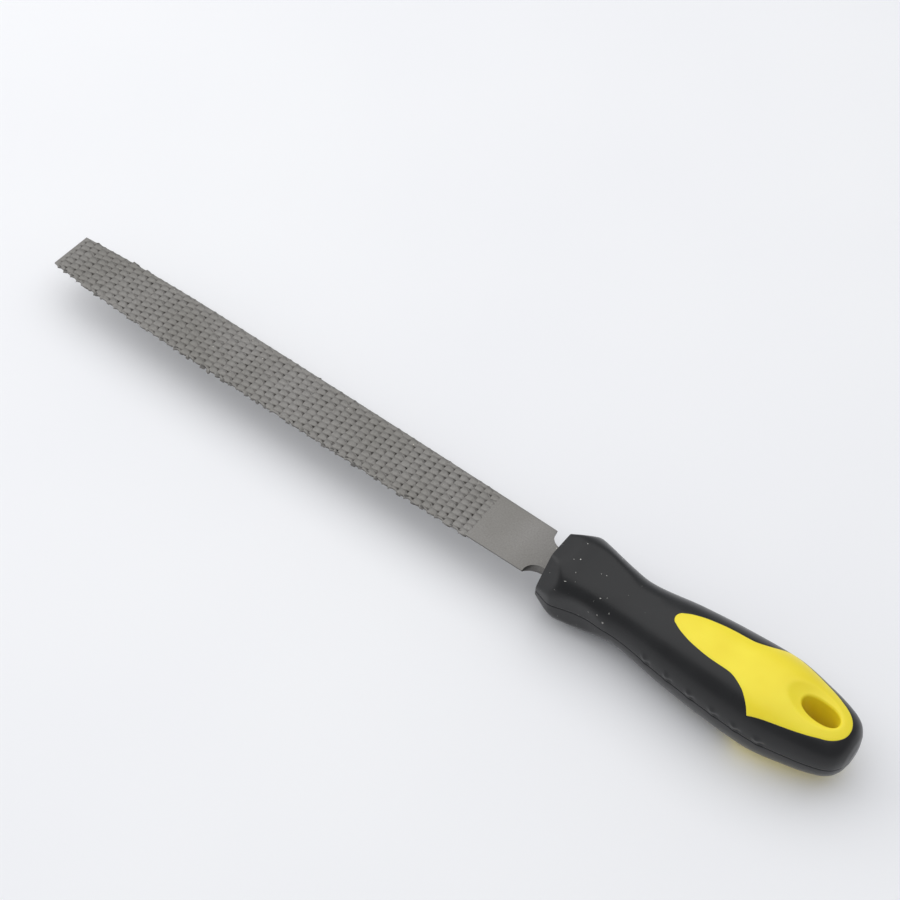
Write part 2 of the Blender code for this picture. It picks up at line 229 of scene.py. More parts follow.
def steel_finish():
    material, tree, shader = new_finish("satin_hardened_tool_steel", 0.46, metallic=1.0)
    drift = noise(tree, 22, 3.0)
    grain = noise(tree, 0.5, 2.0)
    body = blend(tree, fit(tree, drift, 0.35, 0.65), linear("#83817d"), linear("#8b8986"))
    body = blend(tree, fit(tree, grain, 0.3, 0.8, 0.0, 0.35), body, linear("#74706b"))
    # The pits darken by their depth: partly dirt and oxide, partly painted shade in the hollows.
    pit = put(tree, "ShaderNodeAttribute", output="Fac", attribute_name="pit")
    body = blend(tree, fit(tree, pit, 0.1, 0.8, 0.0, 0.85), body, linear("#3f3b37"))
    # Painted shade: the heel's steel darkens towards the handle, as if the handle shaded it.
    painted_handle_shade = times(tree, along_mask(tree, 193, 206), 0.3)
    body = blend(tree, painted_handle_shade, body, linear("#4a4845"))
    by_collar = specks(tree, 0.9, 0.25, 0.72, along_mask(tree, 202, 204))
    layers = {0: by_collar, 1: specks(tree, 1.6, 0.1, 0.9, 1.0)}
    dust = put(tree, "ShaderNodeMath", layers, operation="MAXIMUM")
    body = blend(tree, dust, body, linear("#d8d4c8"))
    tree.links.new(body, shader.inputs["Base Color"])
    tree.links.new(fit(tree, grain, 0.3, 0.7, 0.42, 0.54), shader.inputs["Roughness"])
    bump = {"Height": grain, "Strength": 0.25, "Distance": 0.00003}
    tree.links.new(put(tree, "ShaderNodeBump", bump), shader.inputs["Normal"])
    return material


steel = steel_finish()
print("made", steel.name)

# %% [markdown]
# The flat face tapers a little towards the tip and towards the heel. The
# other face is the half-round belly: one arc from edge to edge, so the edges
# come out thin. At the heel a round scoop on each side narrows the stock to
# the tang. The blade is forged and ground to this shape before any tooth
# is cut.

# %% The blade's outline
BLADE_LENGTH = 200.0
MID_HALF_WIDTH = 10.3
TIP_HALF_WIDTH = 7.9
HEEL_HALF_WIDTH = 9.7
BLADE_DEPTH = 4.8
TIP_DEPTH = 3.6
EDGE_THICKNESS = 0.7
TIP_TAPER = 60.0
HEEL_TAPER = 100.0
SHOULDER_LAND = 1.2
SCOOP_RADIUS = 4.6
NECK_HALF_WIDTH = 4.8
TANG_SEEN = 11.0          # length of tang that the model follows


def stock_half_width(x):
    from_tip = np.clip(1 - x / TIP_TAPER, 0, 1) ** 2
    from_heel = np.clip((x - BLADE_LENGTH + HEEL_TAPER) / HEEL_TAPER, 0, 1) ** 2
    narrowing = (MID_HALF_WIDTH - TIP_HALF_WIDTH) * from_tip
    return MID_HALF_WIDTH - narrowing - (MID_HALF_WIDTH - HEEL_HALF_WIDTH) * from_heel


def stock_depth(x):
    return BLADE_DEPTH - (BLADE_DEPTH - TIP_DEPTH) * np.clip(1 - x / TIP_TAPER, 0, 1) ** 2


def belly(x, y):
    """Depth of the belly below the flat, and its outward slope, at a point."""
    half = stock_half_width(np.minimum(x, BLADE_LENGTH))
    rise = stock_depth(x) - EDGE_THICKNESS
    radius = (half**2 + rise**2) / (2 * rise)
    fall = np.sqrt(np.maximum(radius**2 - y**2, 0))
    return EDGE_THICKNESS + rise - radius + fall, np.arctan2(y, fall)


print("blade is", BLADE_LENGTH, "mm long and", 2 * MID_HALF_WIDTH, "mm wide")

# %% [markdown]
# The teeth lie in staggered rows, as bricks do. A slanted punch came down
# for each one. It slid towards the heel, so each pit starts as a thin
# scratch, deepens, and ends at a steep wall, where the metal it pushed up
# stands as the tooth. The scratches run slightly askew, as the punch was
# held. Between two pits of a row the steel dips as well, so a shallow valley
# crosses the blade in front of each row. The outermost teeth of the belly
# break out through the thin edges as small burrs. No two blows are quite
# alike. A fixed random seed gives each its own small shift and depth, the
# same on every run.

# %% The lattice of punch marks
ROW_PITCH = 3.05
COLUMN_PITCH = 2.4
FIRST_ROW = 2.0
TOOTH_ROWS = 58
PIT_TAIL = 1.6            # length of the scratch that leads into a pit
PIT_DEPTH = 0.6
PIT_HALF_WIDTH = 0.62
VALLEY_SHARE = 0.42       # depth between two teeth against that of a pit
VALLEY_LENGTH = 0.8
WALL_LENGTH = 0.4         # the wall that ends a pit leans over this length
TAIL_SHARE = 0.35         # width of the scratch's thin end against the pit's
PIT_SKEW = 0.25           # the scratch runs slightly across the blade
EDGE_MARGIN = 0.5         # no tooth is cut nearer the edge than this
COLUMNS = 13              # columns numbered from -6 to 6
ROW_SHIFT = (0.25, 1.45)  # where a column lies in odd and even rows
SCATTER = (0.07, 0.08)    # how far blows stray along and across the blade
FORCE_SCATTER = 0.12
BURR_WIDTH = 0.45

luck = np.random.default_rng(58)
shape = (2, TOOTH_ROWS, COLUMNS)
blow_x = luck.normal(0, SCATTER[0], shape)
blow_y = luck.normal(0, SCATTER[1], shape)
blow_force = np.clip(luck.normal(1.0, FORCE_SCATTER, shape), 0.6, 1.3)

# Where the belly's teeth break through each thin edge, and how far. The -Y
# edge comes first, and is the rougher one.
row_places = FIRST_ROW + ROW_PITCH * np.arange(TOOTH_ROWS)
burr_x = row_places + luck.normal(0.2, 0.25, (2, TOOTH_ROWS))
burr_reach = luck.uniform((0.5, 0.0), (1.3, 0.3), (TOOTH_ROWS, 2)).T


def edge_burr(side, x):
    """How far the burrs push one edge outwards."""
    away = np.abs(np.asarray(x)[..., None] - burr_x[side])
    return np.max(burr_reach[side] * np.exp(-((away / BURR_WIDTH) ** 1.2)), axis=-1)


def column_place(row, column):
    shift = np.where(row % 2 == 1, ROW_SHIFT[0], ROW_SHIFT[1])
    return column * COLUMN_PITCH + shift


def is_cut(x, y):
    return np.abs(y) < stock_half_width(x) - EDGE_MARGIN


def punched(face, x, y):
    """How deep the punch has gone at each point of a face, from 0 to 1."""
    row = np.clip(np.ceil((x - 0.1 - FIRST_ROW) / ROW_PITCH), 0, TOOTH_ROWS - 1).astype(int)
    column = np.rint((y - column_place(row, 0)) / COLUMN_PITCH).astype(int)
    index = np.clip(column + COLUMNS // 2, 0, COLUMNS - 1)
    centre = column_place(row, column)
    back = x - FIRST_ROW - ROW_PITCH * row - blow_x[face, row, index]
    side = y - centre - blow_y[face, row, index] + PIT_SKEW * back
    ramp = np.clip(1 + back / PIT_TAIL, 0, 1) ** 1.4
    wall = np.clip(0.5 - back / WALL_LENGTH, 0, 1)
    half = PIT_HALF_WIDTH * (TAIL_SHARE + (1 - TAIL_SHARE) * ramp)
    spread = np.exp(-(np.abs(side) / half) ** 2.6)
    cut = is_cut(FIRST_ROW + ROW_PITCH * row, centre)
    valley = np.clip(1 + back / VALLEY_LENGTH, 0, 1) * VALLEY_SHARE
    deep = np.maximum(ramp * spread * blow_force[face, row, index], valley)
    return wall * deep * cut


print(TOOTH_ROWS, "rows of teeth on each face")

# %% [markdown]
# The blade is a loft of cross-sections. They stand close together where
# there are teeth, so that each pit has real depth, and further apart on the
# plain heel. A ring runs across the flat, round the thin edge and back along
# the belly. How deep each point was punched is stored with the mesh, for the
# steel's finish to read.

# %% Blade with its pits
ACROSS = 66               # points across the flat, and as many round the belly
EDGE_ROUND = 0.12
TOOTHED_SECTIONS = 592
HEEL_SECTIONS = 30
SCOOP_SECTIONS = 18
DEEPEST_SHARE = 0.28      # no pit takes more than this share of the thickness
TANG_TAPER = 0.92


def blade_sections():
    """Lengths from the tip with the half width of the steel there."""
    toothed = np.linspace(0, FIRST_ROW + ROW_PITCH * TOOTH_ROWS, TOOTHED_SECTIONS)
    heel = np.linspace(toothed[-1] + 0.6, BLADE_LENGTH - 0.15, HEEL_SECTIONS)
    x = [*toothed, *heel, BLADE_LENGTH]
    half = [*stock_half_width(np.array(x))]
    drop = NECK_HALF_WIDTH + SCOOP_RADIUS - (HEEL_HALF_WIDTH - SHOULDER_LAND)
    run = math.sqrt(SCOOP_RADIUS**2 - drop**2)
    for turn in np.linspace(math.asin(run / SCOOP_RADIUS), 0, SCOOP_SECTIONS):
        x.append(BLADE_LENGTH + 0.02 + run - SCOOP_RADIUS * math.sin(turn))
        half.append(NECK_HALF_WIDTH + SCOOP_RADIUS * (1 - math.cos(turn)))
    x.append(BLADE_LENGTH + TANG_SEEN)
    half.append(NECK_HALF_WIDTH * TANG_TAPER)
    return np.array(x), np.array(half)


def make_blade():
    x, half = blade_sections()
    share = np.linspace(-1, 1, ACROSS)
    near = half + edge_burr(0, x)
    far = half + edge_burr(1, x)
    middle, reach = (far - near)[:, None] / 2, (far + near)[:, None] / 2
    x = x[:, None]
    y = middle + share[None, :] * (reach - EDGE_ROUND)
    depth, slope = belly(x, y)
    limit = DEEPEST_SHARE * depth
    top_pit = punched(0, x, y)
    low_pit = punched(1, x, y)
    top = -np.minimum(top_pit * PIT_DEPTH, limit)
    lift = np.minimum(low_pit * PIT_DEPTH, limit)
    flat = np.stack([x + 0 * y, y, top], -1)
    round_y = y - lift * np.sin(slope)
    round_z = -depth + lift * np.cos(slope)
    under = np.stack([x + 0 * y, round_y, round_z], -1)[:, ::-1]
    thick = belly(x, half[:, None])[0]
    rim_z = np.concatenate([0 * thick - EDGE_ROUND, EDGE_ROUND - thick], axis=1)
    rim_y = half[:, None] + 0 * rim_z
    right = np.stack([x + 0 * rim_z, rim_y + edge_burr(1, x), rim_z], -1)
    left = np.stack([x + 0 * rim_z, -rim_y - edge_burr(0, x), rim_z], -1)[:, ::-1]
    rings = np.concatenate([flat, right, under, left], axis=1)
    points, faces = loft(rings)
    none = np.zeros((len(x), 2))
    pit = np.concatenate([top_pit, none, low_pit[:, ::-1], none], axis=1)
    blade = make_mesh("punched_steel_blade", points, faces, steel, 50)
    # The steel's finish darkens by this value: dirt and painted shade in the pits.
    stored = blade.data.attributes.new("pit", "FLOAT", "POINT")
    stored.data.foreach_set("value", pit.astype(np.float32).ravel())
    return blade


blade = make_blade()
print("blade:", len(blade.data.polygons), "faces")

# %% [markdown]
# A tooth is the chip that the punch raised behind its pit. It has a steep
# face towards the tip, a sharp curved crest, and a back that slopes away
# like the top of a worn brick. A smaller burr stands where a tooth broke out
# through an edge. One small tooth is shaped by Geometry Nodes from a box,
# then set on every seat of the lattice. Its sizes are inputs of the node
# group, so the cut can be made coarser or finer.

# %% Seats for the teeth
TOOTH_SETBACK = 0.12      # a tooth's foot stands this far behind the pit's wall
SIZE_BY_FORCE = 0.3       # a harder blow raises a larger tooth
TOOTH_SKEW = (-0.08, 0.07)


def tooth_seats():
    """Place, turn about X, skew and size of every tooth."""
    seats = []
    for face in (0, 1):
        for row in range(TOOTH_ROWS):
            for index in range(COLUMNS):
                x = FIRST_ROW + ROW_PITCH * row
                y = float(column_place(row, index - COLUMNS // 2))
                if not is_cut(x, y):
                    continue
                size = 1 + SIZE_BY_FORCE * (blow_force[face, row, index] - 1)
                x = x + blow_x[face, row, index] + TOOTH_SETBACK
                y = y + blow_y[face, row, index]
                skew = luck.normal(*TOOTH_SKEW)
                if face == 0:
                    seats.append((x, y, 0.0, 0.0, skew, size))
                else:
                    depth, slope = belly(x, y)
                    seats.append((x, y, -float(depth), math.pi + float(slope), -skew, size))
    return seats


def edge_seats():
    """Small burrs at the belly teeth that break out through the thin edges."""
    seats = []
    for side in (0, 1):
        outward = 2 * side - 1
        for x, reach in zip(burr_x[side].tolist(), burr_reach[side].tolist()):
            y = outward * (float(stock_half_width(x)) - 0.25 + 0.5 * reach)
            turn = outward * luck.uniform(-1.3, -0.5)
            seats.append((x - 0.3, y, -0.15, turn, luck.normal(0, 0.3), 0.22 + 0.3 * reach))
    return seats


seats = tooth_seats() + edge_seats()
print(len(seats), "teeth")

# %% [markdown]
# The tooth's profile is a few sums of two lengths: "along" runs from 0 at
# the crest to 1 at the heel, and "across" from -1 to 1. The crest rises fast
# over its first quarter and is crowned from side to side. The tooth narrows
# towards the heel, where it sinks into the blade. Its corners store the same
# darkening attribute as the pits. That darkening is partly dirt that gathers
# in both and partly painted shade in these hollows.

# %% One tooth, repeated by Geometry Nodes
TOOTH_SIZES = {
    "Tooth Width": 2.46,
    "Tooth Length": 2.85,
    "Tooth Height": 0.28,
    "Tooth Root": 0.5,
}


def tooth_tree():
    """Geometry Nodes group: a tooth shaped from a box, set on every point."""
    tree = bpy.data.node_groups.new("raised_teeth", "GeometryNodeTree")
    tree.interface.new_socket("Seats", in_out="INPUT", socket_type="NodeSocketGeometry")
    for name, size in TOOTH_SIZES.items():
        made = tree.interface.new_socket(name, in_out="INPUT", socket_type="NodeSocketFloat")
        made.default_value = size * MM
    tree.interface.new_socket("Steel", in_out="INPUT", socket_type="NodeSocketMaterial")
    tree.interface.new_socket("Teeth", in_out="OUTPUT", socket_type="NodeSocketGeometry")
    given = tree.nodes.new("NodeGroupInput").outputs

    def calc(operation, first, second=0.0):
        return put(tree, "ShaderNodeMath", {0: first, 1: second}, operation=operation)

    box = {"Size": (1, 2, 1), "Vertices X": 5, "Vertices Y": 5, "Vertices Z": 2}
    cube = put(tree, "GeometryNodeMeshCube", box, "Mesh")
    position = put(tree, "GeometryNodeInputPosition")
    place = put(tree, "ShaderNodeSeparateXYZ", {"Vector": position})
    along = calc("ADD", place, 0.5)
    across = place.node.outputs["Y"]
    is_top = calc("GREATER_THAN", place.node.outputs["Z"], 0.0)
    edge_fall = calc("MULTIPLY", calc("POWER", calc("ABSOLUTE", across), 3.0), 0.6)
    hump = calc("SUBTRACT", 1.0, edge_fall)
    rise = calc("MULTIPLY", calc("MINIMUM", along, 0.25), 2.4)
    back = calc("SUBTRACT", calc("ADD", 0.5, rise), calc("MULTIPLY", along, 0.45))
    top = calc("MULTIPLY", given["Tooth Height"], calc("MULTIPLY", hump, back))
    heel_fall = calc("MULTIPLY", given["Tooth Root"], calc("POWER", along, 7.0))
    top = calc("SUBTRACT", top, heel_fall)
    root = calc("MULTIPLY", given["Tooth Root"], -1.0)
    z = calc("ADD", root, calc("MULTIPLY", is_top, calc("SUBTRACT", top, root)))
    curl = calc("MULTIPLY", calc("POWER", across, 2.0), 0.05)
    lean = calc("MULTIPLY", calc("SUBTRACT", 1.0, along), calc("MULTIPLY", is_top, -0.05))
    x = calc("MULTIPLY", given["Tooth Length"], calc("ADD", calc("ADD", along, curl), lean))
    narrow = calc("SUBTRACT", 1.0, calc("MULTIPLY", calc("POWER", along, 3.0), 0.42))
    half = calc("MULTIPLY", given["Tooth Width"], 0.5)
    y = calc("MULTIPLY", across, calc("MULTIPLY", half, narrow))
    spot = put(tree, "ShaderNodeCombineXYZ", {"X": x, "Y": y, "Z": z})
    # Painted shade and dirt: darker at the tooth's sides towards its heel, and at its heel end
    # where it sinks into the blade.
    side_dirt_and_shade = calc("POWER", calc("ABSOLUTE", across), 3.0)
    corner = calc("MULTIPLY", calc("POWER", along, 1.5), side_dirt_and_shade)
    heel_dirt_and_shade = calc("MULTIPLY", calc("POWER", along, 8.0), 0.12)
    dirt_and_shade = calc("ADD", calc("MULTIPLY", corner, 0.9), heel_dirt_and_shade)
    with_dirt_and_shade = put(tree, "GeometryNodeStoreNamedAttribute",
                {"Geometry": cube, "Name": "pit", "Value": dirt_and_shade}, domain="POINT")
    tooth = put(tree, "GeometryNodeSetPosition", {"Geometry": with_dirt_and_shade, "Position": spot})
    turn = put(tree, "GeometryNodeInputNamedAttribute", {"Name": "turn"}, "Attribute",
               data_type="FLOAT_VECTOR")
    size = put(tree, "GeometryNodeInputNamedAttribute", {"Name": "size"}, "Attribute",
               data_type="FLOAT")
    copies = {"Points": given["Seats"], "Instance": tooth, "Rotation": turn, "Scale": size}
    many = put(tree, "GeometryNodeInstanceOnPoints", copies)
    real = put(tree, "GeometryNodeRealizeInstances", {"Geometry": many})
    done = put(tree, "GeometryNodeSetMaterial", {"Geometry": real, "Material": given["Steel"]})
    put(tree, "NodeGroupOutput", {"Teeth": done})
    return tree


def make_teeth():
    mesh = bpy.data.meshes.new("raised_steel_teeth")
    places = np.array([seat[:3] for seat in seats])
    mesh.from_pydata((places + tip) * MM, [], [])
    turns = np.array([(seat[3], 0.0, seat[4]) for seat in seats], np.float32)
    sizes = np.array([seat[5] for seat in seats], np.float32)
    turn = mesh.attributes.new("turn", "FLOAT_VECTOR", "POINT")
    turn.data.foreach_set("vector", turns.ravel())
    size = mesh.attributes.new("size", "FLOAT", "POINT")
    size.data.foreach_set("value", sizes)
    teeth = bpy.data.objects.new("raised_steel_teeth", mesh)
    bpy.context.scene.collection.objects.link(teeth)
    tree = tooth_tree()
    names = {item.name: item.identifier for item in tree.interface.items_tree}
    modifier = teeth.modifiers.new("raised_teeth", "NODES")
    modifier.node_group = tree
    modifier[names["Steel"]] = steel
    plain_copy(teeth)
    teeth.data.shade_smooth()
    teeth.data.set_sharp_from_angle(angle=math.radians(35))
    return teeth


teeth = make_teeth()
print("teeth:", len(teeth.data.polygons), "faces")

# %% [markdown]
# The soft grip and the yellow core share one outer surface. It is a rounded
# form that swells to fill the palm. At the collar it is cut by hollowed flats,
# above, below and on each side, where a thumb and a finger rest. A bevel
# runs round its front: one plane for each flat and one for each corner. A
# soft minimum of all these distances gives every edge the same rounding.

# %% The handle's form
ROUNDNESS = 2.3           # 2 would be an ellipse, more is squarer
EDGE_SOFTNESS = 55        # higher makes the edges between flats crisper
HALF_WIDTHS = (
    (0.0, 0.928), (0.066, 0.925), (0.11, 0.882), (0.16, 0.81), (0.204, 0.758), (0.259, 0.714),
    (0.433, 0.861), (0.577, 0.956), (0.721, 1.0), (0.866, 0.846), (0.942, 0.7), (0.972, 0.585),
    (0.992, 0.4), (1.0, 0.21),
)
HALF_HEIGHTS = (
    (0.0, 0.958), (0.066, 0.954), (0.11, 0.922), (0.16, 0.86), (0.204, 0.796), (0.259, 0.736),
    (0.433, 0.886), (0.577, 0.961), (0.721, 1.0), (0.866, 0.85), (0.942, 0.703), (0.972, 0.59),
    (0.992, 0.41), (1.0, 0.22),
)
# The finger flats: distance from the handle's axis by length in mm from its front.
TOP_FLAT = (
    (5.8, 13.3), (8, 12.8), (11, 12.0), (15, 11.25), (19.3, 10.75), (24, 10.4), (29, 10.3),
    (34, 10.7), (46, 15),
)
SIDE_FLAT = (
    (5.8, 13.98), (8, 13.4), (11, 12.4), (15, 11.4), (19.3, 10.9), (23.6, 11.1), (29, 11.6),
    (40, 16),
)
# The bevels: distance from the axis at the front rim, and what it gains per mm.
BEVEL_LENGTH = 5.8
TOP_BEVEL = (11.6, 0.293)
SIDE_BEVEL = (12.05, 0.333)
CORNER_BEVEL = (10.99, 0.52)
CORNER_TOWARD = (0.797, 0.604)   # across and upward parts of the corner's direction


def form_radius(along, angle):
    """Distance from the handle's axis to its surface, in mm."""
    share = along / handle_length
    half_width = swell_half_width * follow(HALF_WIDTHS, share)
    half_height = swell_half_height * follow(HALF_HEIGHTS, share)
    across = np.abs(np.cos(angle))
    upward = np.abs(np.sin(angle))
    rounded = (across / half_width) ** ROUNDNESS + (upward / half_height) ** ROUNDNESS
    nearness = rounded ** (EDGE_SOFTNESS / ROUNDNESS)
    corner = CORNER_TOWARD[0] * across + CORNER_TOWARD[1] * upward
    for toward, flat in ((upward, TOP_FLAT), (across, SIDE_FLAT)):
        nearness = nearness + (toward / follow(flat, along)) ** EDGE_SOFTNESS
    for toward, (start, gain) in (
        (upward, TOP_BEVEL), (across, SIDE_BEVEL), (corner, CORNER_BEVEL),
    ):
        nearness = nearness + (toward / (start + gain * along)) ** EDGE_SOFTNESS
    return nearness ** (-1 / EDGE_SOFTNESS)


def angle_at(along, half):
    """Angle above the middle plane at which the form is half this wide."""
    low, high = 0 * along * half, 0 * along * half + math.pi / 2
    for _ in range(40):
        middle = (low + high) / 2
        wide = form_radius(along, middle) * np.cos(middle) > half
        low, high = np.where(wide, middle, low), np.where(wide, high, middle)
    return (low + high) / 2


def in_place(along, y, z):
    """Points given from the handle's front and axis, moved to the tip's frame."""
    return np.stack(np.broadcast_arrays(handle_front + along, y, z - handle_drop), -1)


collar = [round(float(form_radius(np.array(14.0), a)), 1) for a in (0, 0.8, math.pi / 2)]
print("collar 14 mm back, mm from the axis at side, corner and top:", collar)

# %% [markdown]
# The core shows through the grip as a yellow panel. Its edge starts as a
# rounded tongue, flares to a pointed cusp on each side and closes in a round
# end. Both pieces take their seam from this one line, so they meet without
# a step. In the mould that line is the shut-off edge.

# %% Panel outline and stations along the handle
PANEL_FRONT = (
    (41.9, 0.0), (42.8, 2.0), (46.0, 3.7), (51.1, 5.3), (58.1, 6.4), (64.8, 6.8),
    (70.0, 8.7), (73.7, 11.3), (75.9, 13.4),
)
PANEL_BACK = (
    (75.9, 13.4), (85.5, 11.1), (93.4, 8.7), (97.6, 6.95), (102.9, 0.0),
)
ROUND_END = 0.36          # fullness of the round end: 0 is a parabola, 1 an ellipse


def panel_half(along):
    """Half the width of the yellow panel, and nothing outside it."""
    start, cusp, end = PANEL_FRONT[0][0], PANEL_FRONT[-1][0], PANEL_BACK[-1][0]
    tongue = follow(PANEL_FRONT[1:], along)
    nose = PANEL_FRONT[1][1] * np.sqrt(np.clip((along - start) / (PANEL_FRONT[1][0] - start), 0, 1))
    tongue = np.where(along < PANEL_FRONT[1][0], nose, tongue)
    late = PANEL_BACK[-2][0]
    t = np.clip((along - late) / (end - late), 0, 1)
    round_end = PANEL_BACK[-2][1] * np.sqrt((1 - t) * (1 + ROUND_END * t))
    tail = np.where(along > late, round_end, follow(PANEL_BACK[:-1], along))
    inside = (along > start) & (along < end)
    return np.where(inside, np.where(along < cusp, tongue, tail), 0.0)


def stations():
    """Lengths along the handle, closer together where its outline turns fast."""
    start, cusp, end = PANEL_FRONT[0][0], PANEL_FRONT[-1][0], PANEL_BACK[-1][0]
    pieces = [
        np.linspace(0, 0.8 * BEVEL_LENGTH, 10),
        np.linspace(0.8 * BEVEL_LENGTH, 1.3 * BEVEL_LENGTH, 16)[1:],
        np.linspace(1.3 * BEVEL_LENGTH, start, 76)[1:],
        start + (cusp - start) * np.linspace(0, 1, 84)[1:] ** 1.7,
        cusp + (end - cusp) * np.sin(np.linspace(0, math.pi / 2, 64))[1:],
        end + (handle_length - end) * np.sin(np.linspace(0, math.pi / 2, 20))[1:],
    ]
    return np.concatenate(pieces)


print(len(stations()), "sections; the panel is", 2 * PANEL_FRONT[-1][1], "mm wide at its cusps")

# %% [markdown]
# The grip is a soft thermoplastic rubber, moulded over the core in one shot.
# Its skin has a fine grain and a thin dusty sheen, so it looks charcoal and
# not pure black, and its slopes keep a dull gloss. Sawdust clings to it near
# the front. A second finish serves the core: a satin polypropylene with a
# trace of light inside it, which keeps its shadows warm.

# %% Rubber and core finishes
def rubber_finish():
    material, tree, shader = new_finish("moulded_charcoal_rubber", 0.4)
    shader.inputs["Specular IOR Level"].default_value = 0.42
    shader.inputs["Sheen Weight"].default_value = 0.14
    shader.inputs["Sheen Roughness"].default_value = 0.35
    drift = noise(tree, 9, 3.0)
    grain = noise(tree, 0.22, 2.0)
    body = blend(tree, fit(tree, drift, 0.3, 0.7), linear("#101011"), linear("#151516"))
    body = blend(tree, fit(tree, grain, 0.35, 0.75, 0.0, 0.5), body, linear("#202021"))
    front = along_mask(tree, handle_front + 36, handle_front + 14)
    layers = {0: specks(tree, 1.5, 0.12, 0.78, front), 1: specks(tree, 3.1, 0.14, 0.86, front)}
    dust = put(tree, "ShaderNodeMath", layers, operation="MAXIMUM")
    body = blend(tree, dust, body, linear("#cfcdc6"))
    tree.links.new(body, shader.inputs["Base Color"])
    tree.links.new(fit(tree, drift, 0.3, 0.7, 0.30, 0.37), shader.inputs["Roughness"])
    bump = {"Height": grain, "Strength": 0.35, "Distance": 0.00004}
    tree.links.new(put(tree, "ShaderNodeBump", bump), shader.inputs["Normal"])
    return material


def yellow_finish():
    material, tree, shader = new_finish("moulded_yellow_polypropylene", 0.42)
    drift = noise(tree, 14, 2.0)
    skin = noise(tree, 0.35, 2.0)
    body = blend(tree, fit(tree, drift, 0.3, 0.7), linear("#f2dc28"), linear("#f9e636"))
    tree.links.new(body, shader.inputs["Base Color"])
    shader.inputs["Subsurface Weight"].default_value = 0.12
    shader.inputs["Subsurface Radius"].default_value = (1.0, 0.7, 0.1)
    shader.inputs["Subsurface Scale"].default_value = 2.0 * MM
    tree.links.new(fit(tree, skin, 0.3, 0.7, 0.36, 0.46), shader.inputs["Roughness"])
    bump = {"Height": skin, "Strength": 0.12, "Distance": 0.00003}
    tree.links.new(put(tree, "ShaderNodeBump", bump), shader.inputs["Normal"])
    return material


rubber = rubber_finish()
yellow = yellow_finish()
print("made", rubber.name, "and", yellow.name)

# %% [markdown]
# The grip's mesh follows the seam. Each section runs down one side from seam
# to seam and up the other. Where there is no panel, the two sides meet along
# the top and bottom. Where there is one, a wall closes each side from the
# upper seam to the lower, and a sliver of wall closes the window's two ends.
# Points crowd near the seam, which rolls over slightly, and near the parting
# line, where the two mould halves left a fine groove with a row of small
# tool marks above it.

# %% Grip
SEAM_GAP = 0.03
SEAM_ROLL = 0.06
SEAM_STEPS = np.array([0.0, 0.08, 0.2, 0.4])
PART_STEPS = np.array([0.55, 0.32, 0.16, 0.07, 0.0])
PART_DEPTH = 0.2
BETWEEN = 32
MARKS = (40.1, 48.6, 57.1, 65.7, 73.5, 81.3)   # tool marks above the parting line
MARK_HEIGHT = 2.2
MARK_RISE = 0.42
MARK_SINK = 0.36
PART_DIP = 0.45           # how far the parting line sinks beside a mark
GROOVE_WIDTH = 0.15
POCKET_DEPTH = 8.0
SLOT_ROOM = 0.15
SLOT_SQUARENESS = 0.35    # 1 would be an ellipse, less is squarer
FRONT_STEPS = ((1, POCKET_DEPTH), (1, 0.25), (0.97, 0), (0.7, 0), (0.35, 0), (0.04, 0))
BUTT_STEPS = (0.72, 0.4, 0.12)
BUTT_BULGE = 0.25


def part_height(along):
    """The parting line dips a little beside each tool mark."""
    dip = sum(np.exp(-(((along - mark - 0.8) / 1.1) ** 2)) for mark in MARKS)
    return -PART_DIP * dip


def round_bump(along, middle, length, height, level, tall):
    """A soft round bump: 1 at its middle, and gone a few widths away."""
    return np.exp(-(((along - middle) / length) ** 2) - ((height - level) / tall) ** 2)


def side_strip(along, half):
    """Points down the right side from the upper seam to the lower one."""
    seam = angle_at(along, half + SEAM_GAP)[:, None]
    along = along[:, None]
    reach = form_radius(along, seam)
    wide = form_radius(along, 0 * seam)
    upper = seam - SEAM_STEPS / reach
    part = part_height(along) / wide
    near = PART_STEPS / wide
    t = np.linspace(0, 1, BETWEEN)[1:-1]
    top_run = upper[:, -1:] + (part + near[:, :1] - upper[:, -1:]) * t
    low_run = part - near[:, :1] + (-upper[:, -1:] - part + near[:, :1]) * t
    low = part - near[:, -2::-1]
    angle = np.concatenate([upper, top_run, part + near, low, low_run, -upper[:, ::-1]], axis=1)
    radius = form_radius(along, angle)
    from_seam = (seam - np.abs(angle)) * reach
    roll = SEAM_ROLL * np.clip(1 - from_seam / SEAM_STEPS[-1], 0, 1) ** 2
    height = (angle - part) * wide
    groove = PART_DEPTH * np.exp(-((height / GROOVE_WIDTH) ** 2))
    marks = sum(
        MARK_RISE * round_bump(along, mark, 0.9, height, MARK_HEIGHT, 1.1)
        - MARK_SINK * round_bump(along, mark + 1.6, 1.0, height, 1.0, 0.9)
        for mark in MARKS
    )
    radius = radius - np.where(half[:, None] > 0, roll, 0) - groove + marks
    return radius * np.cos(angle), radius * np.sin(angle)


def slot_ring(y, z):
    """The mouth of the tang's socket, point for point with a ring of the form."""
    turn = np.arctan2(z, y)
    half = NECK_HALF_WIDTH + SLOT_ROOM
    tall = BLADE_DEPTH / 2 + SLOT_ROOM
    across = half * np.sign(np.cos(turn)) * np.abs(np.cos(turn)) ** SLOT_SQUARENESS
    up = tall * np.sign(np.sin(turn)) * np.abs(np.sin(turn)) ** SLOT_SQUARENESS
    return across, up + handle_drop - BLADE_DEPTH / 2


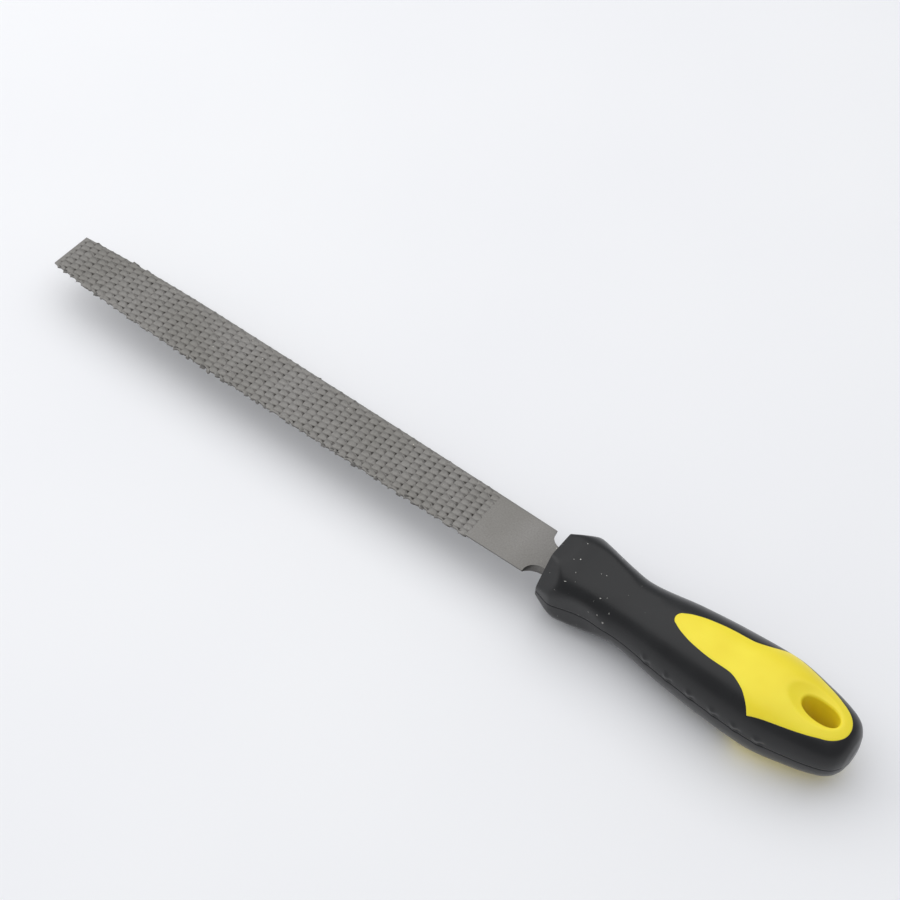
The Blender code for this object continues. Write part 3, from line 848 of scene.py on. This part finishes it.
def make_grip():
    along = stations()
    half = panel_half(along)
    y, z = side_strip(along, half)
    y_ring = np.concatenate([y, -y[:, ::-1]], axis=1)
    z_ring = np.concatenate([z, z[:, ::-1]], axis=1)
    rings = [in_place(a, ry, rz) for a, ry, rz in zip(along, y_ring, z_ring)]
    mouth_y, mouth_z = slot_ring(y_ring[0], z_ring[0])
    # From the pocket's floor to its mouth, then out over the flat front face.
    front = []
    for share, depth in FRONT_STEPS:
        ry = y_ring[0] + (mouth_y - y_ring[0]) * share
        rz = z_ring[0] + (mouth_z - z_ring[0]) * share
        front.append(in_place(depth, ry, rz))
    butt = []
    for share in BUTT_STEPS:
        bulge = handle_length + BUTT_BULGE * (1 - share**2)
        butt.append(in_place(bulge, y_ring[-1] * share, z_ring[-1] * share))
    rings = np.array(front + rings + butt)
    rows, count = rings.shape[:2]
    side = count // 2
    here = np.arange(rows * count).reshape(rows, count)
    beside = np.roll(here, -1, axis=1)
    quads = np.stack([here[:-1], here[1:], beside[1:], beside[:-1]], axis=-1)
    first = len(front) + int(np.argmax(half > 0)) - 1
    last = len(front) + len(half) - int(np.argmax(half[::-1] > 0))
    open_top = quads[first:last, count - 1]
    open_low = quads[first:last, side - 1]
    kept = np.ones((rows - 1, count), bool)
    kept[first:last, [side - 1, count - 1]] = False
    faces = quads[kept].tolist()
    for top, low in zip(open_top.tolist(), open_low.tolist()):
        left_top, left_next, right_next, right_top = top
        right_low, right_low_next, left_low_next, left_low = low
        faces.append([right_next, right_top, right_low, right_low_next])
        faces.append([left_top, left_next, left_low_next, left_low])
    for row, order in ((first, 1), (last, -1)):
        ends = [here[row, place] for place in (0, count - 1, side, side - 1)]
        faces.append([int(point) for point in ends[::order]])
    faces += [here[0].tolist(), here[-1][::-1].tolist()]
    return clean_mesh("soft_rubber_grip", rings.reshape(-1, 3), faces, rubber)


def clean_mesh(name, points, faces, material):
    """Joins points that fall together, so that the body is closed."""
    piece = make_mesh(name, points, faces, material)
    shape = bmesh.new()
    shape.from_mesh(piece.data)
    bmesh.ops.remove_doubles(shape, verts=shape.verts, dist=0.002 * MM)
    loose = [edge for edge in shape.edges if not (edge.is_manifold and edge.is_contiguous)]
    print(name, "has", len(shape.faces), "faces and", len(loose), "open or turned edges")
    shape.to_mesh(piece.data)
    shape.free()
    return piece


grip = make_grip()

# %% [markdown]
# The core is the hard first shot. Its panel lies flush with the rubber. Near
# the butt a hole lets the tool hang on a peg. The mould gives the hole a
# sunken lead-in, deeper to the front, and a rounded lip that no thread
# or cord will chafe on.

# %% Core
CORE_ACROSS = 49
HOLE_MIDDLE = 92.8
HOLE_HALF_LENGTH = 6.3
HOLE_HALF_WIDTH = 3.4
HOLE_ROUNDNESS = 2.25
LIP_RADIUS = 0.7
DISH_MIDDLE = 90.7
DISH_HALF_LENGTH = 9.4
DISH_HALF_WIDTH = 5.7
DISH_DEPTH = 2.1


def dish(along, y):
    """How far the lead-in sinks the panel at a point."""
    inside = 1 - ((along - DISH_MIDDLE) / DISH_HALF_LENGTH) ** 2 - (y / DISH_HALF_WIDTH) ** 2
    return DISH_DEPTH * (inside + np.sqrt(inside**2 + 0.004)) / 2


def panel_height(along, y):
    """Height of the panel above the handle's axis."""
    angle = angle_at(along, np.abs(y))
    return form_radius(along, angle) * np.sin(angle) - dish(along, y)


def make_core():
    along = stations()
    half = panel_half(along)
    inside = half > SEAM_GAP + 0.1
    along, half = along[inside], half[inside] - SEAM_GAP
    share = np.sin(np.linspace(-math.pi / 2, math.pi / 2, CORE_ACROSS))
    share = 0.5 * share + 0.5 * np.linspace(-1, 1, CORE_ACROSS)
    y = half[:, None] * share
    x = along[:, None] + 0 * y
    edge = half[:, None] * (1 - np.abs(share))
    z = panel_height(x, y) - SEAM_ROLL * np.clip(1 - edge / 0.4, 0, 1) ** 2
    top = in_place(x, y, z)
    low = in_place(x, y, -z)[:, ::-1]
    return make_mesh("yellow_handle_core", *loft(np.concatenate([top, low], axis=1)), yellow)


def hole_cutter():
    """A solid plug whose ends flare over the lip of the hole."""
    turn = np.linspace(math.pi, -math.pi, 97)[:-1]
    out_x = np.sign(np.cos(turn)) * np.abs(np.cos(turn)) ** (2 / HOLE_ROUNDNESS)
    out_y = np.sign(np.sin(turn)) * np.abs(np.sin(turn)) ** (2 / HOLE_ROUNDNESS)

    def ring(spread, depth, side):
        x = HOLE_MIDDLE + (HOLE_HALF_LENGTH + spread) * out_x
        y = (HOLE_HALF_WIDTH + spread) * out_y
        return in_place(x, y, side * (panel_height(x, y) - depth))

    lip = np.linspace(math.radians(14), math.pi / 2, 7)
    flare = [(LIP_RADIUS * (1 - math.sin(t)), LIP_RADIUS * (1 - math.cos(t))) for t in lip]
    flare = [(flare[0][0], -4.0), *flare]
    rings = [ring(*step, -1) for step in flare] + [ring(*step, 1) for step in flare[::-1]]
    points, faces = loft(np.array(rings))
    return make_mesh("hole_plug", points, faces, yellow)


def cut(piece, cutter):
    for other in (piece, cutter):
        shape = bmesh.new()
        shape.from_mesh(other.data)
        bmesh.ops.recalc_face_normals(shape, faces=shape.faces)
        shape.to_mesh(other.data)
        shape.free()
    modifier = piece.modifiers.new("hole", "BOOLEAN")
    modifier.operation = "DIFFERENCE"
    modifier.solver = "EXACT"
    modifier.object = cutter
    plain_copy(piece)
    bpy.data.objects.remove(cutter)
    piece.data.shade_smooth()
    piece.data.set_sharp_from_angle(angle=math.radians(40))


core = make_core()
cut(core, hole_cutter())
print("core:", len(core.data.polygons), "faces")

# %% [markdown]
# The pieces now stand for the plain ones. All three ride on the tool's one
# body, because nothing on it moves.

# %% Tie the pieces to the plain model
for piece, slot, node in (
    (blade, "blade_steel", "rasp_blade"),
    (teeth, "blade_steel", "rasp_blade"),
    (core, "core_plastic", "handle_core"),
    (grip, "grip_rubber", "soft_grip"),
):
    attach(piece, "root")
    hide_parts(node)
    print(piece.name, "stands for", node)

# %% [markdown]
# The tool lies on a plain pale table, whose matt white paint throws light
# back up at the handle's underside. A large soft light hangs above. A
# smaller one stands low beyond the blade's tip, and grazes the teeth, so
# that each casts a little shade into its pit. The colours are shown as they
# are, with no film curve over them.

# %% Table and light
def make_table():
    bpy.ops.mesh.primitive_grid_add(x_subdivisions=8, y_subdivisions=8, size=6.0)
    table = bpy.context.object
    table.name = "pale_table"
    material, tree, shader = new_finish("matt_white_table", 0.7)
    drift = noise(tree, 160, 2.0)
    body = blend(tree, fit(tree, drift, 0.3, 0.7), linear("#f0f0f2"), linear("#f3f3f4"))
    tree.links.new(body, shader.inputs["Base Color"])
    table.data.materials.append(material)


def soft_light(name, place, aim, size, power):
    light = bpy.data.objects.new(name, bpy.data.lights.new(name, "AREA"))
    bpy.context.scene.collection.objects.link(light)
    light.data.shape = "RECTANGLE"
    light.data.size, light.data.size_y = size
    light.data.energy = power
    light.location = place
    light.rotation_mode = "QUATERNION"
    light.rotation_quaternion = (Vector(aim) - Vector(place)).to_track_quat("-Z", "Y")


make_table()
soft_light("overhead_softbox", (-0.4, 0.2, 1.05), (-0.4, 0.2, 0), (2.3, 2.1), 14.8)
soft_light("left_softbox", (-1.2, -0.25, 0.45), (0, 0, 0), (1.2, 0.8), 4.0)
world = bpy.data.worlds.new("studio")
bpy.context.scene.world = world
world.use_nodes = True
sky = world.node_tree.nodes["Background"]
sky.inputs["Color"].default_value = linear("#e6e9ee")
sky.inputs["Strength"].default_value = 0.5
bpy.context.scene.view_settings.view_transform = "Standard"
print("table and lights are set")

# %% [markdown]
# The camera looks down on the flat of the blade from the handle's end, a
# little from one side. A long lens keeps the perspective gentle. The camera
# is aimed at a point on the tool's axis and then rolled about its own line
# of sight, so that the tool runs across the picture from corner to corner.

# %% Camera
CAMERA_PLACE = Vector((205.84, -309.57, 508.38)) * MM
CAMERA_AIM = Vector((-9.065, 24.274, 0.0)) * MM
CAMERA_ROLL = math.radians(5.368)
LENS_MM = 77.23

camera = bpy.data.objects.new("camera", bpy.data.cameras.new("camera"))
bpy.context.scene.collection.objects.link(camera)
camera.data.lens = LENS_MM
camera.data.sensor_width = 36.0
camera.location = CAMERA_PLACE
camera.rotation_mode = "QUATERNION"
looking = (CAMERA_AIM - CAMERA_PLACE).to_track_quat("-Z", "Y")
camera.rotation_quaternion = looking @ Quaternion((0, 0, 1), CAMERA_ROLL)
bpy.context.scene.camera = camera
print("camera distance, mm:", round((CAMERA_AIM - CAMERA_PLACE).length / MM))
